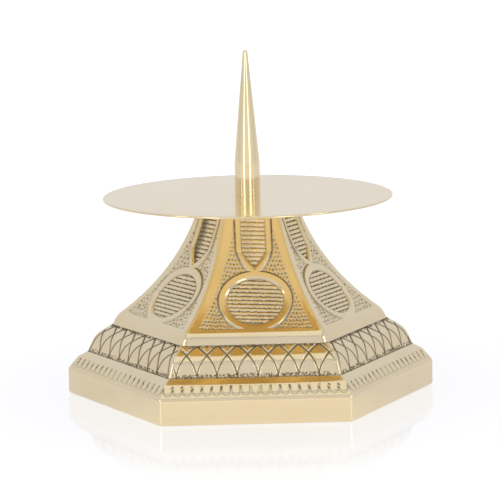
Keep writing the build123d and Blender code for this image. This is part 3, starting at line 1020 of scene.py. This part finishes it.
# The studio as the metal sees it, from in front of the stand round to behind it
STUDIO = (
    (0.0, (0.93, 0.91, 1.0)),
    (0.18, (0.81, 0.82, 0.9)),
    (0.4, (0.69, 0.715, 0.87)),
    (0.8, (0.73, 0.742, 0.86)),
    (1.0, (0.82, 0.835, 0.9)),
)
UPPER = (0.714, 0.75, 0.91)
OVERHEAD = (0.9, 0.9, 0.95)
SEAM = (0.2, 0.2, 0.2)
OPENING = (0.25, 0.22, 0.15)
BELOW = (0.9, 0.86, 0.85)
WHITE = (1.0, 1.0, 1.0)
FAR_WHITE = (1.2, 1.2, 1.2)

# Parts of the tent, by the height or the depth of the direction that they lie in, 1 for straight up or back
UPPER_FADE = (0.08, 0.62)
OVERHEAD_FADE = (0.8, 0.86)
SEAM_HEIGHT, SEAM_HALF, SEAM_STRENGTH = 0.79, 0.03, 0.65
OPENING_FRONT, OPENING_FOOT, OPENING_HEAD = (-0.2, 0.8), (0.04, 0.13), (0.2, 0.4)
FLAG_NEAR, FLAG_FAR, FLAG_FOOT, FLAG_HEAD = (-0.78, -0.66), (-0.42, -0.3), (0.14, 0.22), (0.55, 0.7)
OPENING_STRENGTH, FLAG_STRENGTH = 0.35, 0.35
BELOW_FADE, BELOW_FRONT = (0.02, 0.08), (0.3, 0.6)


def studio_light():
    """World: a pale tent, white where the camera looks at it."""
    world = bpy.data.worlds.new("studio")
    bpy.context.scene.world = world
    world.use_nodes = True
    start = Wire(world.node_tree)
    place = start.add("ShaderNodeTexCoord", output="Generated")
    depth = start.add("ShaderNodeSeparateXYZ", inputs={0: place}, output=1)
    height = start.add("ShaderNodeSeparateXYZ", inputs={0: place}, output=2)
    round_about = start.add("ShaderNodeValToRGB", {"stops": STUDIO}, {0: 0.5 + 0.5 * depth})
    front = -1.0 * depth
    sides = height.between(*UPPER_FADE).tint(round_about, opaque(UPPER))
    seam = (1 - (height - SEAM_HEIGHT).size() / SEAM_HALF).clipped()
    seamed = (SEAM_STRENGTH * seam).tint(sides, opaque(SEAM))
    opening_level = height.between(*OPENING_FOOT) - height.between(*OPENING_HEAD)
    opening = front.between(*OPENING_FRONT) * opening_level
    opened = (OPENING_STRENGTH * opening).tint(seamed, opaque(OPENING))
    flag_level = height.between(*FLAG_FOOT) - height.between(*FLAG_HEAD)
    flag = (depth.between(*FLAG_NEAR) - depth.between(*FLAG_FAR)) * flag_level
    flagged = (FLAG_STRENGTH * flag).tint(opened, opaque(OPENING))
    below = (-1.0 * height).between(*BELOW_FADE) * front.between(*BELOW_FRONT)
    lowered = below.tint(flagged, opaque(BELOW))
    tent = height.between(*OVERHEAD_FADE).tint(lowered, opaque(OVERHEAD))
    seen = start.add("ShaderNodeLightPath", output="Is Camera Ray")
    colour = seen.tint(tent, opaque(WHITE))
    background = world.node_tree.nodes["Background"]
    world.node_tree.links.new(colour.socket, background.inputs["Color"])


# Floor and lamps, in metres; the floor whitens and loses its reflection with distance from the stand
FLOOR_Z = -0.0002
FLOOR_FRONT_Y, FLOOR_REACH = -0.42, 4.0
FLOOR_COLOUR = (0.225, 0.22, 0.205)
FLOOR_GLOW = 0.86
FLOOR_WHITENING = (0.12, 0.32)
FLOOR_SHEEN, FLOOR_SHEEN_ROUGHNESS = 0.25, 0.06
FLOOR_SHEEN_FADE = (0.07, 0.2)
LAMP_DISTANCE = 1.3
LAMP_AIM = Vector((0, 0, 0.06))


def pale_floor():
    """White floor that keeps a soft shadow and a faint reflection, and is open from below."""
    sheet = bpy.data.meshes.new("floor")
    front = [(x, FLOOR_FRONT_Y, FLOOR_Z) for x in (-FLOOR_REACH, FLOOR_REACH)]
    back = [(x, FLOOR_REACH, FLOOR_Z) for x in (FLOOR_REACH, -FLOOR_REACH)]
    sheet.from_pydata(front + back, [], [(0, 1, 2, 3)])
    floor = bpy.data.objects.new("floor", sheet)
    bpy.context.scene.collection.objects.link(floor)
    material = bpy.data.materials.new("floor")
    material.use_nodes = True
    tree = material.node_tree
    start = Wire(tree)
    place = start.add("ShaderNodeTexCoord", output="Object")
    level = start.add("ShaderNodeVectorMath", {"operation": "NORMALIZE"}, {0: place})
    depth = start.add("ShaderNodeSeparateXYZ", inputs={0: level}, output=1)
    round_about = start.add("ShaderNodeValToRGB", {"stops": STUDIO}, {0: 0.5 + 0.5 * depth})
    seen = start.add("ShaderNodeLightPath", output="Is Camera Ray")
    far = start.add("ShaderNodeVectorMath", {"operation": "LENGTH"}, {0: place}, 1)
    pale = far.between(*FLOOR_WHITENING).tint(opaque(WHITE), opaque(FAR_WHITE))
    colour = seen.tint(round_about, pale)
    glow = start.add("ShaderNodeEmission", {}, {"Color": colour, "Strength": FLOOR_GLOW})
    lit = start.add("ShaderNodeBsdfDiffuse", {}, {"Color": opaque(FLOOR_COLOUR)})
    body = start.add("ShaderNodeAddShader", {}, {0: glow, 1: lit})
    shiny = {"Color": opaque(WHITE), "Roughness": FLOOR_SHEEN_ROUGHNESS}
    sheen = start.add("ShaderNodeBsdfGlossy", {}, shiny)
    share = FLOOR_SHEEN * (1 - far.between(*FLOOR_SHEEN_FADE))
    face = start.add("ShaderNodeMixShader", {}, {0: share, 1: body, 2: sheen})
    clear = start.add("ShaderNodeBsdfTransparent")
    under = start.add("ShaderNodeNewGeometry", output="Backfacing")
    both = start.add("ShaderNodeMixShader", {}, {0: under, 1: face, 2: clear})
    tree.links.new(both.socket, tree.nodes["Material Output"].inputs["Surface"])
    floor.data.materials.append(material)


def strip_light(name, azimuth, width, height, centre_z, radiance):
    """Soft strip of light in front of the stand, at an angle to the right of the camera's side."""
    angle = radians(azimuth)
    place = Vector((sin(angle) * LAMP_DISTANCE, -cos(angle) * LAMP_DISTANCE, centre_z))
    lamp = bpy.data.lights.new(name, "AREA")
    lamp.shape, lamp.size, lamp.size_y = "RECTANGLE", width, height
    lamp.energy = radiance * pi * width * height
    light = bpy.data.objects.new(name, lamp)
    light.location = place
    light.rotation_euler = (LAMP_AIM - place).to_track_quat("-Z", "Y").to_euler()
    light.visible_camera = False
    bpy.context.scene.collection.objects.link(light)


def photo_camera():
    """Camera at the photograph's viewing angle."""
    azimuth, elevation, roll = radians(1.6), radians(9.585), radians(-1.05)
    away, aim_x, aim_z = 1086.6, 0.55, 58.57
    pixels_per_radian, frame_pixels, sensor = 2614.5, 500, 36.0
    forward = Vector((sin(azimuth) * cos(elevation), cos(azimuth) * cos(elevation), -sin(elevation)))
    right = Vector((cos(azimuth), -sin(azimuth), 0))
    up = right.cross(forward)
    target = Vector((0, 0, aim_z)) + right * aim_x
    side = right * cos(roll) + up * sin(roll)
    top = up * cos(roll) - right * sin(roll)
    data = bpy.data.cameras.new("photo_camera")
    data.sensor_width = sensor
    data.lens = pixels_per_radian * sensor / frame_pixels
    data.clip_start, data.clip_end = 0.01, 50
    camera = bpy.data.objects.new("photo_camera", data)
    turn = Matrix((side, top, -forward)).transposed().to_4x4()
    camera.matrix_world = Matrix.Translation((target - forward * away) * MM) @ turn
    bpy.context.scene.collection.objects.link(camera)
    bpy.context.scene.camera = camera


bpy.context.scene.view_settings.view_transform = "Standard"
studio_light()
pale_floor()
for side, azimuth in (("left", -30), ("right", 25.5)):
    strip_light(side + "_strip", azimuth, width=0.3, height=0.12, centre_z=0.29, radiance=2.35)
    strip_light(side + "_strip_foot", azimuth, width=0.3, height=0.52, centre_z=-0.03, radiance=1.2)
for side, azimuth in (("left", -56), ("right", 56)):
    strip_light(side + "_tall_strip", azimuth, width=0.24, height=0.75, centre_z=0.68, radiance=2.1)
photo_camera()
